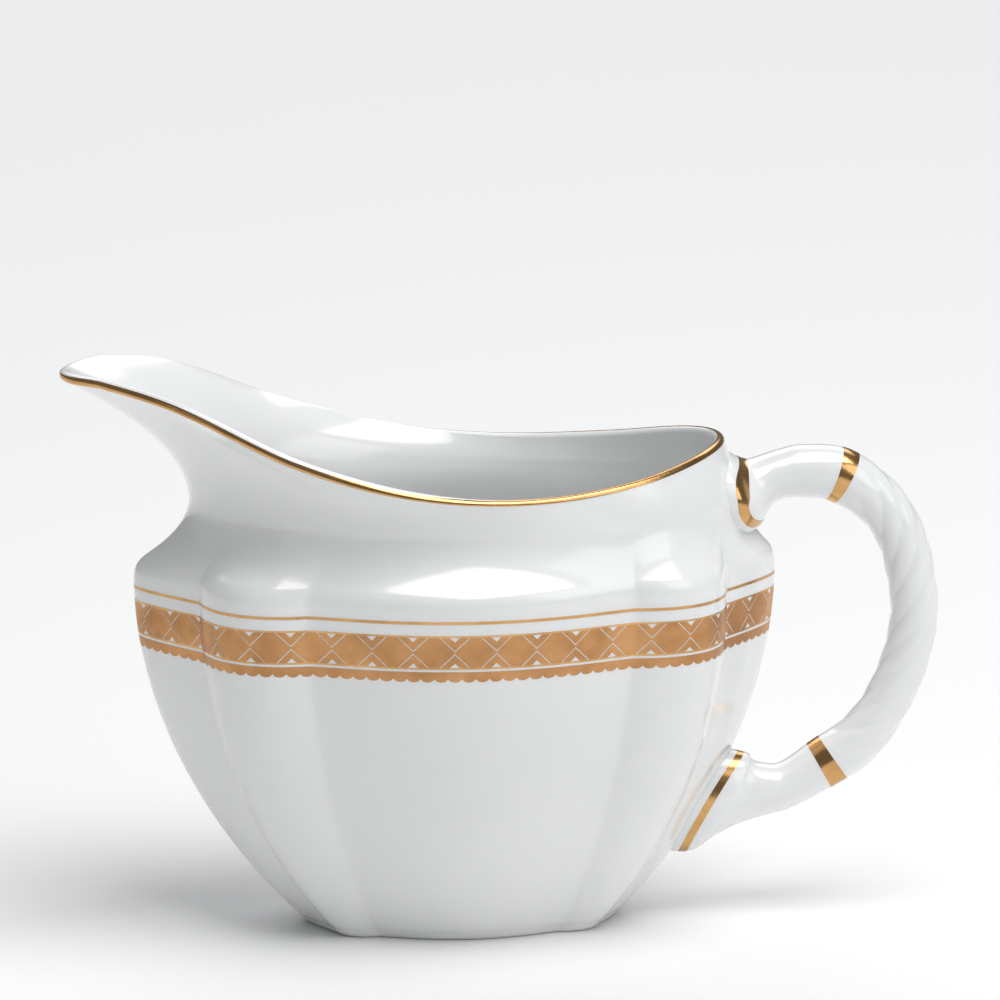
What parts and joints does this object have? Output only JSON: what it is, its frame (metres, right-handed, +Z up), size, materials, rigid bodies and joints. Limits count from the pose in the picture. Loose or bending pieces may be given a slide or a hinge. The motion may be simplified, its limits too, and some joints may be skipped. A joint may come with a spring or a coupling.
{
  "type": "cream jug",
  "caption": "Fluted oval porcelain cream jug with a broad beak spout, a rope-twist C handle and gilt bands.",
  "frame": {"origin": "centre of the body's oval plan on the plane that the foot ring stands on", "axes": "+X towards the handle, -X towards the spout, +Y to the jug's left side seen from the spout's tip looking at the handle, +Z up; the jug mirrors across the XZ plane"},
  "size_m": [0.1547, 0.0698, 0.1003],
  "materials": {
    "porcelain": "clear gloss glaze over white bone china",
    "gilding": "burnished gold on the glaze"
  },
  "bodies": {
    "root": {"jug_body": "porcelain", "handle": "porcelain", "rim_gilding": "gilding", "shoulder_gilt_line": "gilding", "diamond_band": "gilding", "scalloped_edging": "gilding", "handle_ring_upper": "gilding", "handle_ring_lower": "gilding", "handle_joint_line_upper": "gilding", "handle_joint_line_lower": "gilding"}
  },
  "joints": []
}
